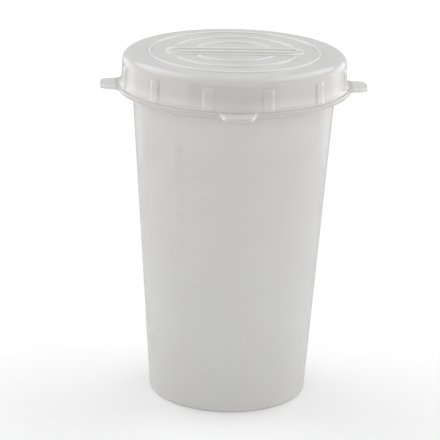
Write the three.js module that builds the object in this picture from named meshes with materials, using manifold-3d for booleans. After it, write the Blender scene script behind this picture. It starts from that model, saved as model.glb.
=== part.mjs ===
// The barrel of a rock tumbler: a tapered cup of frosted plastic, its pull-off lid, and the soft ring
// between them that keeps the water and grit in.
// Millimetres, +Z up. The origin is the middle of the base, on the surface that the barrel stands on.
// The lid's pull tabs point along X and Y.

import * as THREE from "three";
import { mergeVertices } from "three/addons/utils/BufferGeometryUtils.js";
import Module from "manifold-3d";

const wasm = await Module();
wasm.setup();

// Every round face has this many flats.
const FLATS = 72;

// The barrel: its wall leans out evenly from the base to the rim.
const BASE_RADIUS = 43.55;
const WALL_SLOPE = 0.067;
const WALL = 2;
const RIM_TOP = 187.1;
const RIM_DEPTH = 2.9;
const RIM_RADIUS = 58.3;
const RIM_CHAMFER = 0.6;
const BASE_CORNER = 1;
const FOOT_RADIUS = 35;
const FOOT_HEIGHT = 1;
const FLOOR = 2.4;
const FLOOR_FILLET = 5;

// The lid: a flat top, a rounded shoulder and a skirt that flares a little towards its bottom flange.
const LID_TOP = 191.7;
const LID_BOTTOM = 172;
const TOP_PLATE = 2;
const FLAT_RADIUS = 55.1;
const SHOULDER_RADIUS = 60.5;
const SHOULDER_DROP = 4.1;
const SKIRT_WALL = 1.5;
const SKIRT_FOOT_RADIUS = 61.1;
const FLANGE_RADIUS = 63.4;
const FLANGE_EDGE = 2.4;
const FLANGE_HEIGHT = 4;
const FLANGE_CHAMFER = 0.5;

// Inside the lid: a plug lip that enters the barrel's mouth, and a bead that passes below its rim.
const PLUG_RADIUS = 53.4;
const PLUG_WALL = 1.6;
const PLUG_BOTTOM = 181;
const PLUG_CHAMFER = 0.8;
const BEAD_RADIUS = 58.6;
const BEAD_HEIGHT = 183;
const BEAD_WIDTH = 2;

// The raised pattern on the lid: one whole ring, two rings that stop short of a panel across the
// middle, and that panel's round-ended outline with a plain bar inside it.
const RIDGE = 2;
const RIDGE_HEIGHT = 0.8;
const WHOLE_RING = 46;
const BROKEN_RINGS = [33.9, 22.3];
const PANEL_LENGTH = 76;
const PANEL_WIDTH = 15;
const PANEL_GAP = 2;
const BAR_LENGTH = 60;
const BAR_WIDTH = 4;

// Rounded grip ribs down the skirt, wider than they are deep, and the pull tabs that stand out from its
// flange.
const TABS = 4;
const RIBS = 12;
const RIB_RADIUS = 3;
const RIB_SPREAD = 1.5;
const RIB_PROUD = 0.85;
const RIB_TOP = 186.6;
const TAB_TIP = 72.4;
const TAB_ROOT_WIDTH = 19.6;
const TAB_TIP_WIDTH = 15.2;
const TAB_CORNER = 5;
const TAB_THICKNESS = 2.3;
const TAB_RISE = 0.1;

// The seal ring lies in the lid's channel, with clearance to the lid and to the barrel's rim.
const SEAL_CLEARANCE = 0.3;
const SEAL_THICKNESS = 1.7;
const SEAL_OUTER = 58.3;
const SEAL_CORNER = 0.4;
const CHANNEL_TOP = RIM_TOP + SEAL_THICKNESS + 2 * SEAL_CLEARANCE;

const wallRadius = (height) => BASE_RADIUS + WALL_SLOPE * height;

// Points along an elliptical arc in a profile, from one angle to another, in degrees.
function arc(radius, height, across, up, from, to, steps) {
  return Array.from({ length: steps + 1 }, (_, i) => {
    const angle = THREE.MathUtils.degToRad(from + ((to - from) * i) / steps);
    return [radius + across * Math.cos(angle), height + up * Math.sin(angle)];
  });
}

// A solid of revolution about Z from a profile of [radius, height] points.
function turned(profile) {
  const points = profile.map(([radius, height]) => new THREE.Vector2(radius, height));
  return new THREE.LatheGeometry(points, FLATS).rotateX(Math.PI / 2);
}

// A flat outline extruded upwards from a height.
function plate(outline, height, thickness) {
  const geometry = new THREE.ExtrudeGeometry(outline, {
    depth: thickness,
    bevelEnabled: false,
    curveSegments: 8,
  });
  return geometry.translate(0, 0, height);
}

// A closed geometry as a solid that can be joined and cut.
function solid(geometry) {
  const bare = geometry.clone().deleteAttribute("normal").deleteAttribute("uv");
  const merged = mergeVertices(bare, 1e-4);
  return new wasm.Manifold(
    new wasm.Mesh({
      numProp: 3,
      vertProperties: merged.attributes.position.array,
      triVerts: new Uint32Array(merged.index.array),
    }),
  );
}

function geometryOf(joined) {
  const { vertProperties, triVerts } = joined.getMesh();
  const geometry = new THREE.BufferGeometry();
  geometry.setAttribute("position", new THREE.BufferAttribute(vertProperties, 3));
  geometry.setIndex(new THREE.BufferAttribute(triVerts, 1));
  geometry.computeVertexNormals();
  return geometry;
}

// A cup with a shallow recess under its floor, a tapered wall and a rim that turns outwards.
function barrelGeometry() {
  const rimUnderside = RIM_TOP - RIM_DEPTH;
  const mouth = wallRadius(RIM_TOP) - WALL;
  const floorTop = FOOT_HEIGHT + FLOOR;
  const filletHeight = floorTop + FLOOR_FILLET;
  const filletCentre = wallRadius(filletHeight) - WALL - FLOOR_FILLET;
  return turned([
    [0, FOOT_HEIGHT],
    [FOOT_RADIUS - FOOT_HEIGHT, FOOT_HEIGHT],
    [FOOT_RADIUS, 0],
    ...arc(wallRadius(BASE_CORNER) - BASE_CORNER, BASE_CORNER, BASE_CORNER, BASE_CORNER, -90, 0, 2),
    [wallRadius(rimUnderside), rimUnderside],
    [RIM_RADIUS, rimUnderside],
    [RIM_RADIUS, RIM_TOP - RIM_CHAMFER],
    [RIM_RADIUS - RIM_CHAMFER, RIM_TOP],
    [mouth + RIM_CHAMFER, RIM_TOP],
    [mouth, RIM_TOP - RIM_CHAMFER],
    ...arc(filletCentre, filletHeight, FLOOR_FILLET, FLOOR_FILLET, 0, -90, 3),
    [0, floorTop],
  ]);
}

// The lid without its ribs, tabs, panel and broken rings. The whole ring is part of the profile.
function lidShell() {
  const shoulderHeight = LID_TOP - SHOULDER_DROP;
  const flangeTop = LID_BOTTOM + FLANGE_HEIGHT;
  const skirtInner = SHOULDER_RADIUS - SKIRT_WALL;
  const skirtFootInner = SKIRT_FOOT_RADIUS - SKIRT_WALL;
  const halfBead = BEAD_WIDTH / 2;
  const plugInner = PLUG_RADIUS - PLUG_WALL;
  return turned([
    [0, LID_TOP - TOP_PLATE],
    [plugInner, LID_TOP - TOP_PLATE],
    [plugInner, PLUG_BOTTOM],
    [PLUG_RADIUS - PLUG_CHAMFER, PLUG_BOTTOM],
    [PLUG_RADIUS, PLUG_BOTTOM + PLUG_CHAMFER],
    [PLUG_RADIUS, CHANNEL_TOP],
    [skirtInner, CHANNEL_TOP],
    [skirtInner, BEAD_HEIGHT + halfBead],
    [BEAD_RADIUS, BEAD_HEIGHT],
    [skirtInner, BEAD_HEIGHT - halfBead],
    [skirtFootInner, LID_BOTTOM],
    [FLANGE_RADIUS - FLANGE_CHAMFER, LID_BOTTOM],
    [FLANGE_RADIUS, LID_BOTTOM + FLANGE_CHAMFER],
    [FLANGE_RADIUS, LID_BOTTOM + FLANGE_EDGE],
    [SKIRT_FOOT_RADIUS, flangeTop],
    ...arc(FLAT_RADIUS, shoulderHeight, SHOULDER_RADIUS - FLAT_RADIUS, SHOULDER_DROP, 0, 90, 5),
    [WHOLE_RING + RIDGE / 2, LID_TOP],
    [WHOLE_RING, LID_TOP + RIDGE_HEIGHT],
    [WHOLE_RING - RIDGE / 2, LID_TOP],
    [0, LID_TOP],
  ]);
}

// A raised ring of triangular section, sunk a little into the lid's top so that the two join.
function ringRidge(radius) {
  const sunk = LID_TOP - RIDGE_HEIGHT;
  return turned([
    [radius - RIDGE / 2, sunk],
    [radius + RIDGE / 2, sunk],
    [radius + RIDGE / 2, LID_TOP],
    [radius, LID_TOP + RIDGE_HEIGHT],
    [radius - RIDGE / 2, LID_TOP],
    [radius - RIDGE / 2, sunk],
  ]);
}

// An oblong with round ends, its length along X.
function oblong(outline, length, width) {
  const end = width / 2;
  const centre = length / 2 - end;
  outline.moveTo(-centre, -end);
  outline.lineTo(centre, -end);
  outline.absarc(centre, 0, end, -Math.PI / 2, Math.PI / 2, false);
  outline.lineTo(-centre, end);
  outline.absarc(-centre, 0, end, Math.PI / 2, (3 * Math.PI) / 2, false);
  return outline;
}

// The ridge round the panel.
function panelRidge() {
  const outline = oblong(new THREE.Shape(), PANEL_LENGTH, PANEL_WIDTH);
  outline.holes.push(oblong(new THREE.Path(), PANEL_LENGTH - 2 * RIDGE, PANEL_WIDTH - 2 * RIDGE));
  return plate(outline, LID_TOP - RIDGE_HEIGHT, 2 * RIDGE_HEIGHT);
}

// The plain raised bar in the middle of the panel.
function panelBar() {
  const outline = oblong(new THREE.Shape(), BAR_LENGTH, BAR_WIDTH);
  return plate(outline, LID_TOP - RIDGE_HEIGHT, 2 * RIDGE_HEIGHT);
}

// The space that the broken rings leave for the panel.
function panelSpace() {
  const margin = 2 * PANEL_GAP;
  const outline = oblong(new THREE.Shape(), PANEL_LENGTH + margin, PANEL_WIDTH + margin);
  return plate(outline, LID_TOP - 2 * RIDGE_HEIGHT, 4 * RIDGE_HEIGHT);
}

// One grip rib before it is trimmed: an upright oval bar half sunk in the skirt and leaning with it.
function gripRib(angle) {
  const bottom = LID_BOTTOM + FLANGE_EDGE;
  const height = RIB_TOP - bottom;
  const lean = Math.atan((SKIRT_FOOT_RADIUS - SHOULDER_RADIUS) / (LID_TOP - LID_BOTTOM));
  const distance = (SKIRT_FOOT_RADIUS + SHOULDER_RADIUS) / 2 + RIB_PROUD - RIB_RADIUS;
  return new THREE.CylinderGeometry(RIB_RADIUS, RIB_RADIUS, height, 12)
    .rotateX(Math.PI / 2)
    .scale(1, RIB_SPREAD, 1)
    .rotateY(-lean)
    .translate(distance, 0, bottom + height / 2)
    .rotateZ(angle);
}

// The ring-shaped space that the ribs keep to, so that none comes through to the skirt's inside.
function ribSpace() {
  const inner = SKIRT_FOOT_RADIUS - SKIRT_WALL;
  return turned([
    [inner, LID_BOTTOM],
    [FLANGE_RADIUS, LID_BOTTOM],
    [FLANGE_RADIUS, LID_TOP],
    [inner, LID_TOP],
    [inner, LID_BOTTOM],
  ]);
}

// One pull tab: a flat tongue with round corners, from the flange outwards along +X.
function pullTab(angle) {
  const root = TAB_ROOT_WIDTH / 2;
  const tip = TAB_TIP_WIDTH / 2;
  const outline = new THREE.Shape();
  outline.moveTo(SKIRT_FOOT_RADIUS, -root);
  outline.lineTo(TAB_TIP - TAB_CORNER, -tip);
  outline.quadraticCurveTo(TAB_TIP, -tip, TAB_TIP, -tip + TAB_CORNER);
  outline.lineTo(TAB_TIP, tip - TAB_CORNER);
  outline.quadraticCurveTo(TAB_TIP, tip, TAB_TIP - TAB_CORNER, tip);
  outline.lineTo(SKIRT_FOOT_RADIUS, root);
  return plate(outline, LID_BOTTOM + TAB_RISE, TAB_THICKNESS).rotateZ(angle);
}

function lidGeometry() {
  let lid = solid(lidShell()).add(solid(panelRidge())).add(solid(panelBar()));
  const clearPanel = solid(panelSpace());
  for (const radius of BROKEN_RINGS) {
    lid = lid.add(solid(ringRidge(radius)).subtract(clearPanel));
  }
  const outsideSkirt = solid(ribSpace());
  for (let i = 0; i < RIBS; i++) {
    const angle = ((i + 0.5) * 2 * Math.PI) / RIBS;
    lid = lid.add(solid(gripRib(angle)).intersect(outsideSkirt));
  }
  for (let i = 0; i < TABS; i++) {
    const angle = (i * 2 * Math.PI) / TABS;
    lid = lid.add(solid(pullTab(angle)));
  }
  return geometryOf(lid);
}

// A flat soft ring with chamfered corners.
function sealGeometry() {
  const bottom = RIM_TOP + SEAL_CLEARANCE;
  const top = bottom + SEAL_THICKNESS;
  const inner = PLUG_RADIUS + SEAL_CLEARANCE;
  return turned([
    [inner + SEAL_CORNER, bottom],
    [SEAL_OUTER - SEAL_CORNER, bottom],
    [SEAL_OUTER, bottom + SEAL_CORNER],
    [SEAL_OUTER, top - SEAL_CORNER],
    [SEAL_OUTER - SEAL_CORNER, top],
    [inner + SEAL_CORNER, top],
    [inner, top - SEAL_CORNER],
    [inner, bottom + SEAL_CORNER],
    [inner + SEAL_CORNER, bottom],
  ]);
}

function piece(name, geometry, look) {
  const mesh = new THREE.Mesh(geometry, new THREE.MeshStandardMaterial(look));
  mesh.name = name;
  return mesh;
}

const group = new THREE.Group();
group.add(
  piece("barrel", barrelGeometry(), { color: "#e4e3de", roughness: 0.4, metalness: 0 }),
  piece("lid", lidGeometry(), { color: "#e6e6e2", roughness: 0.38, metalness: 0 }),
  piece("lid_seal", sealGeometry(), { color: "#d8d8d2", roughness: 0.7, metalness: 0 }),
);

export default group;
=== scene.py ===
"""The looks of a rock tumbler barrel: a tapered cup of frosted, milky polyethylene with a pull-off lid
of the same plastic and a soft seal ring under it. Blender units are metres; sizes here are named in
millimetres, and MM turns them into metres where points are made."""

import math

import bmesh
import bpy
from mathutils import Matrix, Vector


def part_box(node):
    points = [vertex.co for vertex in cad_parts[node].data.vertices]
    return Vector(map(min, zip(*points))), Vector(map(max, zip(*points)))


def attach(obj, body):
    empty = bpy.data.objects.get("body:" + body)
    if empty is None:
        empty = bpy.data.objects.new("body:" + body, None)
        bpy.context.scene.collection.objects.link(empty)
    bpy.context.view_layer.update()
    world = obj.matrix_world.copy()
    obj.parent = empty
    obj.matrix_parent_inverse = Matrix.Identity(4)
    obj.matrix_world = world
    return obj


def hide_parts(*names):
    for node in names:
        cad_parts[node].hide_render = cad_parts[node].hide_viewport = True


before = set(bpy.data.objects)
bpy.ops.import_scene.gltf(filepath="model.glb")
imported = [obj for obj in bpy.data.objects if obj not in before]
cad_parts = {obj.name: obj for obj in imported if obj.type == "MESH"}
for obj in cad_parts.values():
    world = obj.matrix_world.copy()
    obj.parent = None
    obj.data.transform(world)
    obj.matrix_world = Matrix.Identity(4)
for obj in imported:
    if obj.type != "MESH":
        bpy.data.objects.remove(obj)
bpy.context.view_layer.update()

MM = 0.001
TOLERANCE = 0.01

# ---------------------------------------------------------------- sizes, from the frame where it has them


def height_range(node):
    low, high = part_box(node)
    return low.z / MM, high.z / MM


def radii(node, low, high):
    """The smallest and largest distance from the axis of a CAD node's points between two heights."""
    found = [
        v.co.xy.length / MM
        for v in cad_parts[node].data.vertices
        if low - TOLERANCE <= v.co.z / MM <= high + TOLERANCE
    ]
    return min(found), max(found)


# The barrel: a tapered wall on a foot ring, with a rim that turns outwards.
RIM_TOP = height_range("barrel")[1]
RIM_DEPTH = 2.9
RIM_RADIUS = radii("barrel", 0, RIM_TOP)[1]
FOOT_RADIUS = radii("barrel", 0, 0)[0]
WALL = 2.0
WALL_TOP_RADIUS = radii("barrel", RIM_TOP - RIM_DEPTH, RIM_TOP - RIM_DEPTH)[0]
BASE_CORNER = 1.0
WALL_FOOT_RADIUS = radii("barrel", BASE_CORNER, BASE_CORNER)[1]
WALL_SLOPE = (WALL_TOP_RADIUS - WALL_FOOT_RADIUS) / (RIM_TOP - RIM_DEPTH - BASE_CORNER)
FOOT_HEIGHT = 1.0
FLOOR_TOP = 3.4
FLOOR_FILLET = 5.0
BASE_BLEND = 0.6
RIM_BLEND = 0.9

# The lid: a flat top, a round shoulder, and a skirt that flares into a flange with pull tabs. A zone is
# how far the close columns of vertices reach to each side of a tab's or rib's middle.
LID_BOTTOM, RIDGE_TOP = height_range("lid")
RIDGE_HEIGHT = 0.8
LID_TOP = RIDGE_TOP - RIDGE_HEIGHT
LID_FLOOR = LID_TOP - 2.0
FLAT_RADIUS = 55.1
SHOULDER_DROP = 4.1
SHOULDER_RADIUS = 60.5
SKIRT_FOOT = LID_BOTTOM + 4.0
SKIRT_FOOT_RADIUS = 61.1
SKIRT_WALL = 1.5
FOOT_FLAT = 0.9
FLANGE_RADIUS = 63.4
FLANGE_EDGE = 0.9
TAB_TOP = LID_BOTTOM + 2.4
TAB_RISE = 0.1
TAB_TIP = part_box("lid")[1].x / MM
TAB_ROOT_HALF = 9.8
TAB_TIP_HALF = 7.6
TAB_CORNER = 5.0
TAB_ROOT_FILLET = 2.0
TAB_ZONE = 10.9
TAB_DISH = 0.25
TAB_BORDER = 1.5
TAB_DISH_SLOPE = 0.9
TAB_FLARE = 1.9
TAB_START = 0.05
TAB_FADE = 1.5
TABS = 4
PLUG_RADIUS = 53.4
PLUG_WALL = 1.6
PLUG_BOTTOM = 181.0
CHANNEL_TOP = 189.4
BEAD_RADIUS = 58.6
BEAD_HEIGHT = 183.0

# The grip ribs on the skirt, their spacing in degrees.
RIB_SPACING = 30.0
RIB_FLAT = 1.3
RIB_SQUARENESS = 3.0
RIB_ROUND = 2.4
RIB_PROUD = 0.85
RIB_CAP_HEIGHT = 183.6
RIB_BLEND = 0.12
RIB_BLEND_LIMIT = 60
RIB_ZONE = 3.9
RIBS_PER_TAB = 3

# The raised lines on the lid: rings, a panel's outline, and a plain bar as (offset, rise) points.
RIDGE_HALF = 1.0
RIDGE_MARGIN = 0.3
RIDGE_SOFTNESS = 1.5
RIDGE_STEPS = 8
WHOLE_RING = 46.0
BROKEN_RINGS = (33.9, 22.3)
PANEL_LENGTH = 74.4
PANEL_WIDTH = 13.4
PANEL_CLEAR = 9.5
BAR_LENGTH = 60.0
BAR_WIDTH = 4.0
BAR_SECTION = ((0.3, 0), (0, 0), (-0.1, 0.4), (-0.3, 0.66), (-0.65, RIDGE_HEIGHT))

# The seal: each groove's two edges as shares of the ring's width.
SEAL_CORNER = 0.45
SEAL_GROOVE_DEPTH = 0.25
SEAL_GROOVE_LIP = 0.2
SEAL_GROOVE_FOOT = 0.15
SEAL_GROOVES = ((0.3, 0.4), (0.6, 0.7))

# The graduation marks: a column of fine raised lines on the wall, every sixth one longer. Angles are in
# degrees from the column's middle.
SCALE_AZIMUTH = -90.0 - 34.5
TICK_PITCH = 1.5
TICK_COUNT = 54
TICK_TOP = 167.5
TICK_HALF_HEIGHT = 0.25
TICK_EDGE = 0.15
TICK_PROUD = 0.13
TICK_HALF_ANGLE = 2.4
LONG_TICK_HALF_ANGLE = 3.4
TICK_END_ANGLE = 0.2
TICK_INNER_ANGLE = 1.2
TICK_CLEAR_ANGLE = 1.0
TICKS_PER_LONG = 6

# How finely the meshes are divided: columns round a piece, rows up it, and degrees between columns.
BARREL_COLUMNS = 192
WALL_ROWS = 30
SEAL_COLUMNS = 180
TAB_POINT_GAP = 0.7
RIB_COLUMN_STEP = 0.3
PLAIN_COLUMN_STEP = 1.6
UNDER_ROWS = 5
EDGE_ROWS = 8
FLARE_SHARES = (1.0, 0.93, 0.86, 0.79, 0.72, 0.6, 0.48, 0.38, 0.3, 0.23, 0.16, 0.08)
RIB_ROWS = 8
RIB_CAP_ROWS = 16
SHOULDER_ROWS = 12
FLAT_ROWS = (53.5, 50.5)
SHARP_FROM = math.radians(38)
WELD_DISTANCE = 1e-7

# ---------------------------------------------------------------- mesh helpers


def smooth(t):
    t = min(max(t, 0.0), 1.0)
    return t * t * (3 - 2 * t)


def mix(a, b, t):
    return a + (b - a) * t


def rounded(corners, steps=5):
    """A line through corners (x, y, fillet radius), with each corner rounded to its radius."""
    line = []
    for i, (x, y, fillet) in enumerate(corners):
        here = Vector((x, y))
        if fillet == 0 or i in (0, len(corners) - 1):
            line.append(here)
            continue
        back = (Vector(corners[i - 1][:2]) - here).normalized()
        ahead = (Vector(corners[i + 1][:2]) - here).normalized()
        half = back.angle(ahead) / 2
        reach = fillet / math.tan(half)
        centre = here + (back + ahead).normalized() * (fillet / math.sin(half))
        start, end = here + back * reach - centre, here + ahead * reach - centre
        sweep = start.angle_signed(end)
        for k in range(steps + 1):
            line.append(centre + Matrix.Rotation(-sweep * k / steps, 2) @ start)
    return line


def divided(line, longest):
    """The same line with extra points, so that no stretch is longer than asked."""
    out = [line[0]]
    for a, b in zip(line, line[1:]):
        parts = max(1, math.ceil((b - a).length / longest))
        out += [a.lerp(b, k / parts) for k in range(1, parts + 1)]
    return out


def polar(radius, degrees):
    angle = math.radians(degrees)
    return Vector((radius * math.cos(angle), radius * math.sin(angle)))


def join_rows(bm, lower, upper):
    """A band of quads between two closed rows, or a fan where one of them is a single vertex."""
    count = max(len(lower), len(upper))
    for i in range(count):
        j = (i + 1) % count
        corners = [lower[i % len(lower)], lower[j % len(lower)], upper[j % len(upper)], upper[i % len(upper)]]
        unique = list(dict.fromkeys(corners))
        if len(unique) > 2:
            bm.faces.new(unique)


def skin(bm, rows):
    """Closed rows of (x, y, z) points in millimetres, joined each to the next. Returns the vertices."""
    made = [[bm.verts.new(Vector(p) * MM) for p in row] for row in rows]
    for lower, upper in zip(made, made[1:]):
        join_rows(bm, lower, upper)
    return made


def loop_edges(bm, row):
    return [bm.edges.get((a, b)) or bm.edges.new((a, b)) for a, b in zip(row, row[1:] + row[:1])]


def finished(name, bm, body, node, material):
    """The mesh as a piece that stands for a CAD node and rides on its body."""
    bmesh.ops.recalc_face_normals(bm, faces=bm.faces)
    mesh = bpy.data.meshes.new(name)
    bm.to_mesh(mesh)
    bm.free()
    mesh.shade_smooth()
    mesh.set_sharp_from_angle(angle=SHARP_FROM)
    mesh.materials.append(material)
    piece = bpy.data.objects.new(name, mesh)
    bpy.context.scene.collection.objects.link(piece)
    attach(piece, body)
    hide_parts(node)


# ---------------------------------------------------------------- the barrel


def wall_radius(height):
    return WALL_FOOT_RADIUS + WALL_SLOPE * (height - BASE_CORNER)


def tick_heights():
    return [TICK_TOP - TICK_PITCH * i for i in range(TICK_COUNT)]


def tick_half_angle(index):
    return LONG_TICK_HALF_ANGLE if index % TICKS_PER_LONG == 0 else TICK_HALF_ANGLE


def barrel_angles():
    """Even columns round the barrel, with extra ones at the ends of the graduation marks."""
    even = [i * 360 / BARREL_COLUMNS for i in range(BARREL_COLUMNS)]
    near = LONG_TICK_HALF_ANGLE + TICK_CLEAR_ANGLE
    ends = [0.0, TICK_INNER_ANGLE]
    for half in (TICK_HALF_ANGLE, LONG_TICK_HALF_ANGLE):
        ends += [half, half + TICK_END_ANGLE]
    centre = SCALE_AZIMUTH % 360
    kept = [a for a in even if abs(a - centre) > near]
    return sorted(kept + sorted({centre + s * e for e in ends for s in (-1, 1)}))


def tick_rise(height, from_centre):
    """How far a graduation mark lifts the wall at a height and an angle from the marks' column."""
    index = round((TICK_TOP - height) / TICK_PITCH)
    if not 0 <= index < TICK_COUNT:
        return 0.0
    above = abs(height - (TICK_TOP - TICK_PITCH * index))
    inside_height = above < TICK_HALF_HEIGHT - TICK_EDGE / 2
    inside_width = from_centre < tick_half_angle(index) + TOLERANCE
    return TICK_PROUD if inside_height and inside_width else 0.0


def wall_heights(low, high):
    """Even rows up the wall, with rows along the edges of each graduation mark in their place."""
    heights = [low + (high - low) * i / WALL_ROWS for i in range(WALL_ROWS + 1)]
    first, last = TICK_TOP + TICK_PITCH, TICK_TOP - TICK_PITCH * TICK_COUNT
    heights = [h for h in heights if not last < h < first]
    for centre in tick_heights():
        for off in (TICK_HALF_HEIGHT, TICK_HALF_HEIGHT - TICK_EDGE):
            heights += [centre - off, centre + off]
    return sorted(heights)


def barrel_profile():
    """(radius, height) points below the outer wall, and those above it and down the inside."""
    wall_low = BASE_CORNER + BASE_BLEND
    wall_high = RIM_TOP - RIM_DEPTH - RIM_BLEND
    below = rounded(
        [
            (0, FOOT_HEIGHT, 0),
            (FOOT_RADIUS - FOOT_HEIGHT, FOOT_HEIGHT, 0.6),
            (FOOT_RADIUS, 0, 0.3),
            (wall_radius(0), 0, 1.1),
            (wall_radius(wall_low), wall_low, 0),
        ]
    )
    mouth = wall_radius(RIM_TOP) - WALL
    above = rounded(
        [
            (wall_radius(wall_high), wall_high, 0),
            (WALL_TOP_RADIUS, RIM_TOP - RIM_DEPTH, 0.7),
            (RIM_RADIUS, RIM_TOP - RIM_DEPTH, 0.7),
            (RIM_RADIUS, RIM_TOP, 1.1),
            (mouth, RIM_TOP, 0.7),
            (wall_radius(FLOOR_TOP) - WALL, FLOOR_TOP, FLOOR_FILLET),
            (0, FLOOR_TOP, 0),
        ]
    )
    return below, wall_heights(wall_low, wall_high)[1:-1], above


def barrel_mesh():
    bm = bmesh.new()
    angles = barrel_angles()
    centre = SCALE_AZIMUTH % 360
    below, heights, above = barrel_profile()

    def turned(radius, height):
        if radius == 0:
            return [(0, 0, height)]
        return [(*polar(radius, a), height) for a in angles]

    rows = [turned(p.x, p.y) for p in below]
    for height in heights:
        radius = wall_radius(height)
        rows.append([(*polar(radius + tick_rise(height, abs(a - centre)), a), height) for a in angles])
    rows += [turned(p.x, p.y) for p in above]
    skin(bm, rows)
    return bm


# ---------------------------------------------------------------- the lid


class Column:
    """One column of the lid's vertices: its angle, and its point on the flange's outline."""

    def __init__(self, angle, edge, outward):
        self.angle = angle
        self.edge = edge
        self.outward = outward
        self.toward = polar(1, angle)
        self.tab = smooth((edge.length - FLANGE_RADIUS - TAB_START) / TAB_FADE)
        nearest = round((angle - RIB_SPACING / 2) / RIB_SPACING) * RIB_SPACING + RIB_SPACING / 2
        self.from_rib = math.radians(angle - nearest) * SHOULDER_RADIUS

    def at(self, radius, height):
        return (*(self.toward * radius), height)


def tab_outline():
    """The flange's outline across one pull tab that points along +X, from side to side."""
    start = polar(FLANGE_RADIUS, TAB_ZONE)
    root_x = math.sqrt(FLANGE_RADIUS**2 - TAB_ROOT_HALF**2)
    side = [(root_x, TAB_ROOT_HALF, TAB_ROOT_FILLET), (TAB_TIP, TAB_TIP_HALF, TAB_CORNER)]
    corners = [(start.x, -start.y, 0)]
    corners += [(x, -y, fillet) for x, y, fillet in side]
    corners += reversed(side)
    corners += [(start.x, start.y, 0)]
    return divided(rounded(corners, steps=7), TAB_POINT_GAP)


def lid_columns():
    """Columns all round: close together across each tab and rib, and wider apart between them."""
    outline = tab_outline()
    columns = []
    quarter = 360 / TABS
    for t in range(TABS):
        turn = Matrix.Rotation(math.radians(quarter * t), 2)
        for i, point in enumerate(outline):
            along = outline[min(i + 1, len(outline) - 1)] - outline[max(i - 1, 0)]
            outward = Vector((along.y, -along.x)).normalized()
            angle = quarter * t + math.degrees(math.atan2(point.y, point.x))
            columns.append(Column(angle, turn @ point, turn @ outward))
        for angle in plain_angles(quarter):
            toward = polar(1, quarter * t + angle)
            columns.append(Column(quarter * t + angle, toward * FLANGE_RADIUS, toward))
    return columns


def plain_angles(quarter):
    """Angles from one tab's zone to the next."""
    stops = [TAB_ZONE]
    for k in range(RIBS_PER_TAB):
        centre = RIB_SPACING * (k + 0.5)
        stops += [centre - RIB_ZONE, centre + RIB_ZONE]
    stops.append(quarter - TAB_ZONE)
    angles = []
    for i, (a, b) in enumerate(zip(stops, stops[1:])):
        parts = max(1, round((b - a) / (RIB_COLUMN_STEP if i % 2 else PLAIN_COLUMN_STEP)))
        angles += [mix(a, b, k / parts) for k in range(parts)]
    return angles[1:]


def rib_rise(across, height):
    """How far a grip rib lifts the skirt: a bar with round sides, a round top and a fillet."""
    beyond = max(0.0, height - RIB_CAP_HEIGHT)
    reach = (abs(across) ** RIB_SQUARENESS + beyond**RIB_SQUARENESS) ** (1 / RIB_SQUARENESS)
    outside = max(0.0, reach - RIB_FLAT)
    bar = math.sqrt(max(RIB_ROUND**2 - outside**2, 0.0)) - (RIB_ROUND - RIB_PROUD)
    return RIB_BLEND * math.log1p(math.exp(min(bar / RIB_BLEND, RIB_BLEND_LIMIT)))


def skirt_radius(height):
    share = (height - SKIRT_FOOT) / (LID_TOP - SHOULDER_DROP - SKIRT_FOOT)
    return mix(SKIRT_FOOT_RADIUS, SHOULDER_RADIUS, share)


def inside_rows(columns):
    """From the middle of the lid's underside, over the plug lip and channel, to the skirt's foot."""
    plug_inner = PLUG_RADIUS - PLUG_WALL
    skirt_inner = SHOULDER_RADIUS - SKIRT_WALL
    foot_inner = SKIRT_FOOT_RADIUS - SKIRT_WALL
    line = rounded(
        [
            (0, LID_FLOOR, 0),
            (plug_inner, LID_FLOOR, 1.5),
            (plug_inner, PLUG_BOTTOM, 0.5),
            (PLUG_RADIUS, PLUG_BOTTOM, 0.9),
            (PLUG_RADIUS, CHANNEL_TOP, 0.4),
            (skirt_inner, CHANNEL_TOP, 0.4),
            (skirt_inner, BEAD_HEIGHT + 1, 0.5),
            (BEAD_RADIUS, BEAD_HEIGHT, 0.6),
            (skirt_inner, BEAD_HEIGHT - 1, 0.5),
            (foot_inner, LID_BOTTOM, 0.4),
            (foot_inner + FOOT_FLAT, LID_BOTTOM, 0),
        ]
    )
    return [[(0, 0, p.y)] if p.x == 0 else [c.at(p.x, p.y) for c in columns] for p in line]


def flange_rows(columns):
    """The flange and the tabs: their underside, round edge and top, ending at the skirt's foot."""
    rows = []
    inner = SKIRT_FOOT_RADIUS - SKIRT_WALL + FOOT_FLAT
    for k in range(1, UNDER_ROWS + 1):
        rows.append([under_point(c, inner, k / UNDER_ROWS) for c in columns])
    for k in range(1, EDGE_ROWS):
        rows.append([edge_point(c, math.pi * (k / EDGE_ROWS - 0.5)) for c in columns])
    for share in FLARE_SHARES:
        rows.append([top_point(c, share) for c in columns])
    return rows


def edge_underside(column):
    return LID_BOTTOM + TAB_RISE * column.tab


def inset(column):
    return column.edge - column.outward * FLANGE_EDGE


def under_point(column, inner, share):
    """A point of the underside, from the skirt's inner foot (share 0) to the rounded edge (share 1)."""
    start = column.toward * inner
    return (*start.lerp(inset(column), share), mix(LID_BOTTOM, edge_underside(column), smooth(share)))


def edge_point(column, angle):
    """A point of the flange's or tab's rounded edge, at an angle above the level in radians."""
    share = (math.sin(angle) + 1) / 2
    place = inset(column) + column.outward * (FLANGE_EDGE * math.cos(angle) ** 0.5)
    return (*place, mix(edge_underside(column), TAB_TOP, share))


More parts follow.
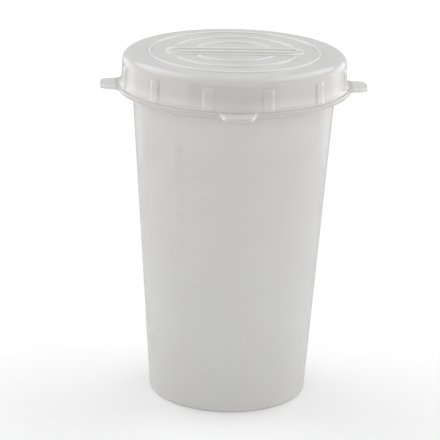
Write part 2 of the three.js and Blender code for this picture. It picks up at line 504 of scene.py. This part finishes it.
def tab_dish(column, place):
    """How deep the shallow dish in a tab's top is at a place: a border is left all round it."""
    quarter = 360 / TABS
    along = Matrix.Rotation(-math.radians(quarter * round(column.angle / quarter)), 2) @ place
    to_tip = TAB_TIP - along.x
    beyond_root = along.x - FLANGE_RADIUS
    half_width = mix(TAB_ROOT_HALF, TAB_TIP_HALF, beyond_root / (TAB_TIP - FLANGE_RADIUS))
    to_side = half_width - abs(along.y)
    if min(to_tip, to_side, beyond_root) <= 0:
        return 0.0
    corner = math.hypot(max(0.0, TAB_CORNER - to_tip), max(0.0, TAB_CORNER - to_side))
    border = TAB_CORNER - corner if corner > 0 else min(to_tip, to_side)
    return TAB_DISH * smooth((border - TAB_BORDER) / TAB_DISH_SLOPE) * smooth(beyond_root / TAB_DISH_SLOPE)


def top_point(column, share):
    """A point from the skirt's foot (share 0) to the flange's or tab's rounded edge (share 1)."""
    foot = column.toward * (SKIRT_FOOT_RADIUS + rib_rise(column.from_rib, SKIRT_FOOT))
    edge = inset(column)
    reach = mix((edge - foot).length, TAB_FLARE, column.tab)
    left = max(0.0, 1 - share * (edge - foot).length / reach)
    place = foot.lerp(edge, share)
    dish = tab_dish(column, place) if column.tab > 0 else 0.0
    return (*place, TAB_TOP + (SKIRT_FOOT - TAB_TOP) * left * left - dish)


def outside_rows(columns):
    """The skirt with its ribs, the shoulder, the flat top and the whole ring."""
    shoulder = LID_TOP - SHOULDER_DROP
    cap = RIB_CAP_HEIGHT
    heights = [SKIRT_FOOT + (cap - SKIRT_FOOT) * k / RIB_ROWS for k in range(RIB_ROWS + 1)]
    heights += [cap + (shoulder - cap) * k / RIB_CAP_ROWS for k in range(1, RIB_CAP_ROWS + 1)]
    rows = [[c.at(skirt_radius(h) + rib_rise(c.from_rib, h), h) for c in columns] for h in heights]
    for k in range(1, SHOULDER_ROWS + 1):
        angle = math.pi / 2 * k / SHOULDER_ROWS
        radius = FLAT_RADIUS + (SHOULDER_RADIUS - FLAT_RADIUS) * math.cos(angle)
        height = shoulder + SHOULDER_DROP * math.sin(angle)
        rows.append([c.at(radius, height) for c in columns])
    for radius in (*FLAT_ROWS, WHOLE_RING + RIDGE_HALF + RIDGE_MARGIN):
        rows.append([c.at(radius, LID_TOP) for c in columns])
    for off, rise in ridge_section():
        rows.append([c.at(WHOLE_RING + off, LID_TOP + rise) for c in columns])
    rows.append([c.at(WHOLE_RING - RIDGE_HALF - RIDGE_MARGIN, LID_TOP) for c in columns])
    return rows


def ridge_section():
    """(offset, rise) points across a ridge with a round top and soft feet."""
    shares = [1 - 2 * k / RIDGE_STEPS for k in range(RIDGE_STEPS + 1)]
    return [(RIDGE_HALF * t, RIDGE_HEIGHT * math.cos(math.pi / 2 * t) ** RIDGE_SOFTNESS) for t in shares]


def arc_loop(radius, start, end, offset, steps=56, cap_steps=8):
    """The closed line at an offset round an arc about the middle of the lid. All offsets match up."""
    outer = [polar(radius + offset, mix(start, end, k / steps)) for k in range(steps + 1)]
    inner = [polar(radius - offset, mix(end, start, k / steps)) for k in range(steps + 1)]
    caps = []
    for tip, first in ((end, end), (start, start + 180)):
        middle = polar(radius, tip)
        caps.append([middle + polar(offset, first + 180 * k / cap_steps) for k in range(1, cap_steps)])
    return outer + caps[0] + inner + caps[1]


def oblong_loop(length, width, offset, steps=24):
    """The closed line at an offset round an oblong with round ends, its length along X."""
    end = width / 2
    centre = length / 2 - end
    line = []
    for side, first in ((1, -90), (-1, 90)):
        middle = Vector((side * centre, 0))
        line += [middle + polar(end + offset, first + 180 * k / steps) for k in range(steps + 1)]
    return line


def level(line, height):
    return [(p.x, p.y, height) for p in line]


def broken_ring(bm, radius, upper):
    """One arc of a ring that stops short of the panel. Returns its outermost row."""
    clear = math.degrees(math.asin((PANEL_CLEAR + RIDGE_HALF) / radius))
    start, end = (clear, 180 - clear) if upper else (180 + clear, 360 - clear)
    rows = [level(arc_loop(radius, start, end, RIDGE_HALF + RIDGE_MARGIN), LID_TOP)]
    for off, rise in ridge_section()[: RIDGE_STEPS // 2]:
        rows.append(level(arc_loop(radius, start, end, abs(off)), LID_TOP + rise))
    made = skin(bm, rows)
    crest = [bm.verts.new(Vector(p) * MM) for p in level(arc_loop(radius, start, end, 0), RIDGE_TOP)]
    join_rows(bm, made[-1], crest)
    bmesh.ops.remove_doubles(bm, verts=crest, dist=WELD_DISTANCE)
    return made[0]


def panel(bm):
    """The panel's raised outline and the plain bar inside it. Returns the outline's outermost and
    innermost rows, and the bar's outermost row."""
    offsets = [(RIDGE_HALF + RIDGE_MARGIN, 0), *ridge_section(), (-RIDGE_HALF - RIDGE_MARGIN, 0)]
    rows = [level(oblong_loop(PANEL_LENGTH, PANEL_WIDTH, off), LID_TOP + rise) for off, rise in offsets]
    outline = skin(bm, rows)
    rows = [level(oblong_loop(BAR_LENGTH, BAR_WIDTH, off), LID_TOP + rise) for off, rise in BAR_SECTION]
    bar = skin(bm, rows)
    bm.faces.new(bar[-1])
    return outline[0], outline[-1], bar[0]


def fill_flat(bm, *rows):
    """Flat faces between closed rows: the outermost one, and the ones that bound holes in it."""
    edges = [edge for row in rows for edge in loop_edges(bm, row)]
    bmesh.ops.triangle_fill(bm, use_beauty=True, use_dissolve=False, edges=edges, normal=(0, 0, 1))


def lid_mesh():
    bm = bmesh.new()
    columns = lid_columns()
    made = skin(bm, inside_rows(columns) + flange_rows(columns) + outside_rows(columns))
    arcs = [broken_ring(bm, radius, upper) for radius in BROKEN_RINGS for upper in (True, False)]
    panel_outer, panel_inner, bar_outer = panel(bm)
    fill_flat(bm, made[-1], *arcs, panel_outer)
    fill_flat(bm, panel_inner, bar_outer)
    return bm


# ---------------------------------------------------------------- the seal ring


def seal_mesh():
    """A flat soft ring with round corners and two shallow grooves in its underside."""
    bm = bmesh.new()
    low, high = height_range("lid_seal")
    inner, outer = radii("lid_seal", low, high)
    middle = (mix(inner, outer, 0.5), high, 0)
    corners = [middle, (inner, high, SEAL_CORNER), (inner, low, SEAL_CORNER)]
    for shares in SEAL_GROOVES:
        start, end = (mix(inner, outer, share) for share in shares)
        corners.append((start, low, SEAL_GROOVE_LIP))
        corners.append((mix(start, end, 0.5), low + SEAL_GROOVE_DEPTH, SEAL_GROOVE_FOOT))
        corners.append((end, low, SEAL_GROOVE_LIP))
    corners += [(outer, low, SEAL_CORNER), (outer, high, SEAL_CORNER), middle]
    line = rounded(corners, steps=3)[:-1]
    angles = [k * 360 / SEAL_COLUMNS for k in range(SEAL_COLUMNS)]
    made = skin(bm, [[(*polar(p.x, a), p.y) for a in angles] for p in line])
    join_rows(bm, made[-1], made[0])
    return bm


# ---------------------------------------------------------------- materials

PLASTIC_IOR = 1.51
SCATTER_REACH = (1.0, 0.94, 0.84)
HAZE_SCALE = 28.0
FLOW_SCALE = (260, 260, 9)
FLOW_RANGE = (0.3, 0.7)
FLOW_ROUGHNESS = (-0.01, 0.015)
WAVE_SCALE = 60.0
WAVE_STRENGTH, WAVE_DEPTH = 0.4, 0.00005
FROST_STRENGTH, FROST_DEPTH = 0.2, 0.00001
UPWARDS = (0, 0, 1)
OUTWARDS = (1, 1, 0)

# Tints: the warm ones are the plastics' own tone; the pale ones are painted light, standing in for the glow
# of thin translucent plastic and lifting shadows, and the dim ones are painted shade. Each holds the
# direction in which it fades in, the distance where it starts and the one where it is full, and the factor
# for each colour.
WARM_WALL = (UPWARDS, 70, 168, (1.004, 0.998, 0.965))
WARM_SKIRT = (UPWARDS, LID_TOP - 0.5, LID_TOP - 5.5, (1.01, 0.994, 0.957))
# painted highlight: the tops of the lid's ridges 9% paler
PAINTED_RIDGE_HIGHLIGHT = (UPWARDS, LID_TOP + 0.1, LID_TOP + 0.6, (1.09, 1.09, 1.09))
# painted light: the barrel up to 10% paler towards its rim, lifting the shadow under the lid's flange
PAINTED_NECK_LIGHT = (UPWARDS, 145, 172, (1.1, 1.1, 1.1))
# painted light: the lid up to 16% paler from the skirt's foot down, lifting the shade in the crease above the
# flange
PAINTED_SKIRT_FOOT_LIGHT = (UPWARDS, LID_BOTTOM + 9.0, LID_BOTTOM + 4.5, (1.16, 1.16, 1.16))
# painted shade: the barrel 5% darker towards its base, from 45 mm down
PAINTED_BASE_SHADE = (UPWARDS, 45, 0, (0.95, 0.95, 0.95))
# painted shade: the lid 21% darker below the top of the flange and tabs
PAINTED_FLANGE_SHADE = (UPWARDS, TAB_TOP + 0.4, TAB_TOP, (0.79, 0.79, 0.79))
# painted light: the tabs beyond the flange up to a third paler and a little cooler, a painted glow of thin
# plastic
PAINTED_TAB_GLOW = (OUTWARDS, FLANGE_RADIUS + 0.3, FLANGE_RADIUS + 1.7, (1.24, 1.26, 1.32))
# painted shade: the tabs' tips 20% darker
PAINTED_TIP_SHADE = (OUTWARDS, TAB_TIP - 1.8, TAB_TIP - 0.7, (0.8, 0.8, 0.8))


def add(nodes, kind, **values):
    """A shader node with its inputs set by name, and its other settings by attribute."""
    node = nodes.new(kind)
    for key, value in values.items():
        if key in node.inputs:
            node.inputs[key].default_value = value
        else:
            setattr(node, key, value)
    return node


def mapped(tree, value, source, target=(0.0, 1.0)):
    """A value output, taken from one range to another and kept inside it."""
    node = add(tree.nodes, "ShaderNodeMapRange")
    for name, limit in zip(("From Min", "From Max", "To Min", "To Max"), (*source, *target)):
        node.inputs[name].default_value = limit
    tree.links.new(value, node.inputs["Value"])
    return node.outputs["Result"]


def noise(tree, vector, **values):
    node = add(tree.nodes, "ShaderNodeTexNoise", **values)
    tree.links.new(vector, node.inputs["Vector"])
    return node.outputs["Fac"]


def tinted(tree, position, colour, direction, start, full, factor):
    """A colour output, multiplied by a tint (the plastic's own tone, painted light or painted shade) that
    fades in from one height, or from one distance from the axis, to another."""
    nodes, links = tree.nodes, tree.links
    kept = add(nodes, "ShaderNodeVectorMath", operation="MULTIPLY")
    kept.inputs[1].default_value = direction
    links.new(position, kept.inputs[0])
    distance = add(nodes, "ShaderNodeVectorMath", operation="LENGTH")
    links.new(kept.outputs["Vector"], distance.inputs[0])
    share = mapped(tree, distance.outputs["Value"], (start * MM, full * MM))
    blend = add(nodes, "ShaderNodeMix", data_type="RGBA", blend_type="MULTIPLY")
    blend.inputs[7].default_value = (*factor, 1)
    links.new(share, blend.inputs[0])
    links.new(colour, blend.inputs[6])
    return blend.outputs[2]


def plastic(name, light, dark, tones_and_painted_light, roughness, scatter, grain):
    """Frosted plastic or rubber: it scatters light inside, its haze varies a little between a light and a
    dark colour, and its skin is finely matt with faint upright flow lines."""
    material = bpy.data.materials.new(name)
    material.use_nodes = True
    tree = material.node_tree
    nodes, links = tree.nodes, tree.links
    surface = nodes["Principled BSDF"]
    surface.inputs["IOR"].default_value = PLASTIC_IOR
    surface.inputs["Subsurface Weight"].default_value = 1.0
    surface.inputs["Subsurface Radius"].default_value = SCATTER_REACH
    surface.inputs["Subsurface Scale"].default_value = scatter
    position = add(nodes, "ShaderNodeTexCoord").outputs["Object"]

    haze = add(nodes, "ShaderNodeMix", data_type="RGBA")
    haze.inputs[6].default_value = (*light, 1)
    haze.inputs[7].default_value = (*dark, 1)
    links.new(noise(tree, position, Scale=HAZE_SCALE, Detail=3.0, Roughness=0.55), haze.inputs[0])
    colour = haze.outputs[2]
    for tint in tones_and_painted_light:
        colour = tinted(tree, position, colour, *tint)
    links.new(colour, surface.inputs["Base Color"])

    upright = add(nodes, "ShaderNodeMapping")
    upright.inputs["Scale"].default_value = FLOW_SCALE
    links.new(position, upright.inputs["Vector"])
    flow = noise(tree, upright.outputs["Vector"], Scale=1.0, Detail=2.0)
    shine = mapped(tree, flow, FLOW_RANGE, [roughness + change for change in FLOW_ROUGHNESS])
    links.new(shine, surface.inputs["Roughness"])

    waves = add(nodes, "ShaderNodeBump", Strength=WAVE_STRENGTH, Distance=WAVE_DEPTH)
    links.new(noise(tree, position, Scale=WAVE_SCALE, Detail=1.0), waves.inputs["Height"])
    frost = add(nodes, "ShaderNodeBump", Strength=FROST_STRENGTH, Distance=FROST_DEPTH)
    links.new(noise(tree, position, Scale=grain, Detail=2.0), frost.inputs["Height"])
    links.new(waves.outputs["Normal"], frost.inputs["Normal"])
    links.new(frost.outputs["Normal"], surface.inputs["Normal"])
    return material


def floor_material():
    material = bpy.data.materials.new("studio_floor")
    material.use_nodes = True
    surface = material.node_tree.nodes["Principled BSDF"]
    surface.inputs["Base Color"].default_value = FLOOR_COLOUR
    surface.inputs["Roughness"].default_value = 1.0
    surface.inputs["Specular IOR Level"].default_value = 0.0
    surface.inputs["Emission Color"].default_value = WHITE
    surface.inputs["Emission Strength"].default_value = FLOOR_GLOW
    return material


# ---------------------------------------------------------------- stage, light and camera

AIM = Vector((0, 0, 0.096))
CAMERA_AZIMUTH = -2.5
CAMERA_ELEVATION = 18.0
CAMERA_DISTANCE = 1.1685
CAMERA_ROLL = 1.41
CAMERA_LENS = 172.9
CAMERA_SHIFT = (-0.024, 0.0018)
CAMERA_CLIP = (0.05, 50)

# Soft panels round the object: centre, the way they face, width and height in metres, and how bright
# their surface is. All are turned by the camera's azimuth, so they stay square to it.
PANELS = (
    ("left_panel", (-3, 1.76, 0.5), (1, 0, 0), (9.32, 2.4), 0.83),
    ("right_panel", (3, 1.76, 0.5), (-1, 0, 0), (9.32, 2.4), 0.97),
    ("rear_left_panel", (-3.4, 3.4, 0.3), (1, -1, 0), (2.8, 3.6), 0.37),
    ("rear_right_panel", (3.4, 3.4, 0.3), (-1, -1, 0), (2.8, 3.6), 0.41),
    ("top_left_panel", (-2.8, 2.8, 3.7), (0, 0, -1), (3.6, 6.4), 1.55),
    ("top_right_panel", (2.8, 2.8, 3.7), (0, 0, -1), (3.6, 6.4), 1.49),
    ("front_panel", (0, -6, 1.7), (0, 1, 0), (6.4, 4), 0.65),
    ("high_front_panel", (0, -3.2, 4.7), (0, 0.8, -1.1), (7.2, 3.2), 0.39),
)
WORLD_STRENGTH = 0.625

# The floor's rings and level are in millimetres.
WHITE = (1, 1, 1, 1)
FLOOR_COLOUR = (0.8, 0.8, 0.8, 1)
FLOOR_GLOW = 0.06
FLOOR_RINGS = (400, 2000, 8000)
FLOOR_COLUMNS = 72
FLOOR_LEVEL = -0.2


def back_from_aim(azimuth, elevation):
    """The direction from the aim point to a place seen at an azimuth (0 is the front, -Y)."""
    a, e = math.radians(azimuth), math.radians(elevation)
    return Vector((math.sin(a) * math.cos(e), -math.cos(a) * math.cos(e), math.sin(e)))


def make_camera():
    data = bpy.data.cameras.new("camera")
    data.lens = CAMERA_LENS
    data.shift_x, data.shift_y = CAMERA_SHIFT
    data.clip_start, data.clip_end = CAMERA_CLIP
    camera = bpy.data.objects.new("camera", data)
    bpy.context.scene.collection.objects.link(camera)
    back = back_from_aim(CAMERA_AZIMUTH, CAMERA_ELEVATION)
    turn = (-back).to_track_quat("-Z", "Y").to_matrix().to_4x4()
    roll = Matrix.Rotation(math.radians(CAMERA_ROLL), 4, "Z")
    camera.matrix_world = Matrix.Translation(AIM + back * CAMERA_DISTANCE) @ turn @ roll
    bpy.context.scene.camera = camera


def add_panel(name, centre, facing, size, radiance):
    data = bpy.data.lights.new(name, "AREA")
    data.shape = "RECTANGLE"
    data.size, data.size_y = size
    data.energy = radiance * math.pi * size[0] * size[1]
    light = bpy.data.objects.new(name, data)
    bpy.context.scene.collection.objects.link(light)
    turn = Matrix.Rotation(math.radians(CAMERA_AZIMUTH), 4, "Z")
    aim = Vector(facing).to_track_quat("-Z", "Y").to_matrix().to_4x4()
    light.matrix_world = turn @ Matrix.Translation(centre) @ aim
    light.visible_camera = False


def make_floor():
    """A pale disc that neither shows in reflections nor shadows the panels that reach below it."""
    bm = bmesh.new()
    angles = [k * 360 / FLOOR_COLUMNS for k in range(FLOOR_COLUMNS)]
    rings = [[(*polar(radius, a), FLOOR_LEVEL) for a in angles] for radius in FLOOR_RINGS]
    skin(bm, [[(0, 0, FLOOR_LEVEL)]] + rings)
    mesh = bpy.data.meshes.new("floor")
    bm.to_mesh(mesh)
    bm.free()
    mesh.materials.append(floor_material())
    floor = bpy.data.objects.new("floor", mesh)
    bpy.context.scene.collection.objects.link(floor)
    floor.visible_glossy = False
    floor.visible_shadow = False


def make_light():
    world = bpy.data.worlds.new("studio")
    world.use_nodes = True
    background = world.node_tree.nodes["Background"]
    background.inputs["Color"].default_value = WHITE
    background.inputs["Strength"].default_value = WORLD_STRENGTH
    bpy.context.scene.world = world
    for panel_values in PANELS:
        add_panel(*panel_values)


bpy.context.scene.view_settings.view_transform = "Standard"
make_camera()
make_floor()
make_light()

# ---------------------------------------------------------------- the three pieces

BARREL_PLASTIC = plastic(
    "barrel_plastic",
    light=(0.61, 0.607, 0.604),
    dark=(0.584, 0.579, 0.572),
    # the wall's own warm tone, painted light on its neck and painted shade towards its base
    tones_and_painted_light=[WARM_WALL, PAINTED_NECK_LIGHT, PAINTED_BASE_SHADE],
    roughness=0.11,
    scatter=0.004,
    grain=2600,
)
LID_PLASTIC = plastic(
    "lid_plastic",
    light=(0.561, 0.56, 0.56),
    dark=(0.538, 0.536, 0.533),
    # the skirt's own warm tone, painted highlight on the ridges, painted light at the skirt's foot and on the
    # tabs, painted shade on the flange and tab tips
    tones_and_painted_light=[WARM_SKIRT, PAINTED_RIDGE_HIGHLIGHT, PAINTED_SKIRT_FOOT_LIGHT, PAINTED_FLANGE_SHADE, PAINTED_TAB_GLOW, PAINTED_TIP_SHADE],
    roughness=0.11,
    scatter=0.0022,
    grain=2600,
)
SEAL_RUBBER = plastic(
    "seal_rubber",
    light=(0.7, 0.7, 0.67),
    dark=(0.65, 0.65, 0.62),
    tones_and_painted_light=[],
    roughness=0.55,
    scatter=0.003,
    grain=1800,
)

finished("barrel_body", barrel_mesh(), "barrel", "barrel", BARREL_PLASTIC)
finished("lid_cap", lid_mesh(), "lid", "lid", LID_PLASTIC)
finished("seal_ring", seal_mesh(), "seal", "lid_seal", SEAL_RUBBER)
